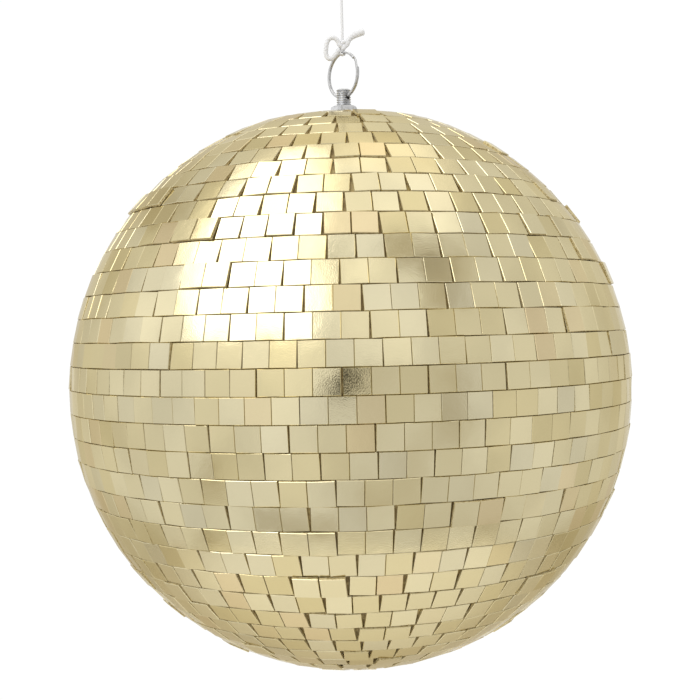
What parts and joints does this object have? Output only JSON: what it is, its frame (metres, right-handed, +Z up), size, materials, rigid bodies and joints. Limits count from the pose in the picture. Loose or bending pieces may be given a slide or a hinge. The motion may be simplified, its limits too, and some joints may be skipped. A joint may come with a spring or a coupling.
{
  "type": "mirror ball",
  "caption": "Hollow ball covered with rows of flat square gold mirror tiles, hung by a threaded stud, a split ring and a tied string.",
  "frame": {"origin": "inside of the hanging loop's crown, at the top of the string, where a hook carries the ball", "axes": "+Z up along the string and the ball's axis; +X along the stud's cross hole, so the split ring lies in the XZ plane"},
  "size_m": [0.3019, 0.3015, 0.401],
  "materials": {
    "mirror_tile": "gold-tinted mirror glass, slightly rippled",
    "core_plastic": "moulded plastic under brown-gold glue and paint",
    "zinc_steel": "bright zinc plating",
    "ring_nickel": "nickel-plated spring wire",
    "cotton_string": "soft twisted white cotton"
  },
  "bodies": {
    "string": {"string_taut": "cotton_string", "string_loop": "cotton_string", "loop_knot": "cotton_string"},
    "hitch": {"string_hitch": "cotton_string", "string_bow": "cotton_string", "string_tail": "cotton_string"},
    "ring": {"split_ring": "ring_nickel"},
    "ball": {"core_shell_upper": "core_plastic", "core_shell_lower": "core_plastic", "core_joint_band": "core_plastic", "hanger_stud": "zinc_steel", "hanger_nut": "zinc_steel", "hanger_washer": "zinc_steel", "inner_plate": "zinc_steel", "inner_nut": "zinc_steel", "tile_row_01": "mirror_tile", "tile_row_02": "mirror_tile", "tile_row_03": "mirror_tile", "tile_row_04": "mirror_tile", "tile_row_05": "mirror_tile", "tile_row_06": "mirror_tile", "tile_row_07": "mirror_tile", "tile_row_08": "mirror_tile", "tile_row_09": "mirror_tile", "tile_row_10": "mirror_tile", "tile_row_11": "mirror_tile", "tile_row_12": "mirror_tile", "tile_row_13": "mirror_tile", "tile_row_14": "mirror_tile", "tile_row_15": "mirror_tile", "tile_row_16": "mirror_tile", "tile_row_17": "mirror_tile", "tile_row_18": "mirror_tile", "tile_row_19": "mirror_tile", "tile_row_20": "mirror_tile", "tile_row_21": "mirror_tile", "tile_row_22": "mirror_tile", "tile_row_23": "mirror_tile", "tile_row_24": "mirror_tile", "tile_row_25": "mirror_tile", "tile_row_26": "mirror_tile", "tile_row_27": "mirror_tile", "tile_row_28": "mirror_tile", "tile_row_29": "mirror_tile", "tile_row_30": "mirror_tile", "tile_row_31": "mirror_tile", "tile_row_32": "mirror_tile", "tile_row_33": "mirror_tile", "tile_row_34": "mirror_tile", "tile_row_35": "mirror_tile", "tile_row_36": "mirror_tile", "tile_row_37": "mirror_tile", "tile_bottom": "mirror_tile"}
  },
  "joints": [
    {"name": "ball_spin", "type": "hinge", "parent": "string", "child": "hitch", "pos_m": [0, 0, -0.0606], "axis": [0, 0, 1], "continuous": true},
    {"name": "ring_turn", "type": "hinge", "parent": "hitch", "child": "ring", "pos_m": [0, 0, -0.079], "axis": [0, 1, 0], "range_deg": [-75, 75]},
    {"name": "ball_tilt", "type": "hinge", "parent": "ring", "child": "ball", "pos_m": [0, 0, -0.0912], "axis": [1, 0, 0], "range_deg": [-75, 75]}
  ]
}
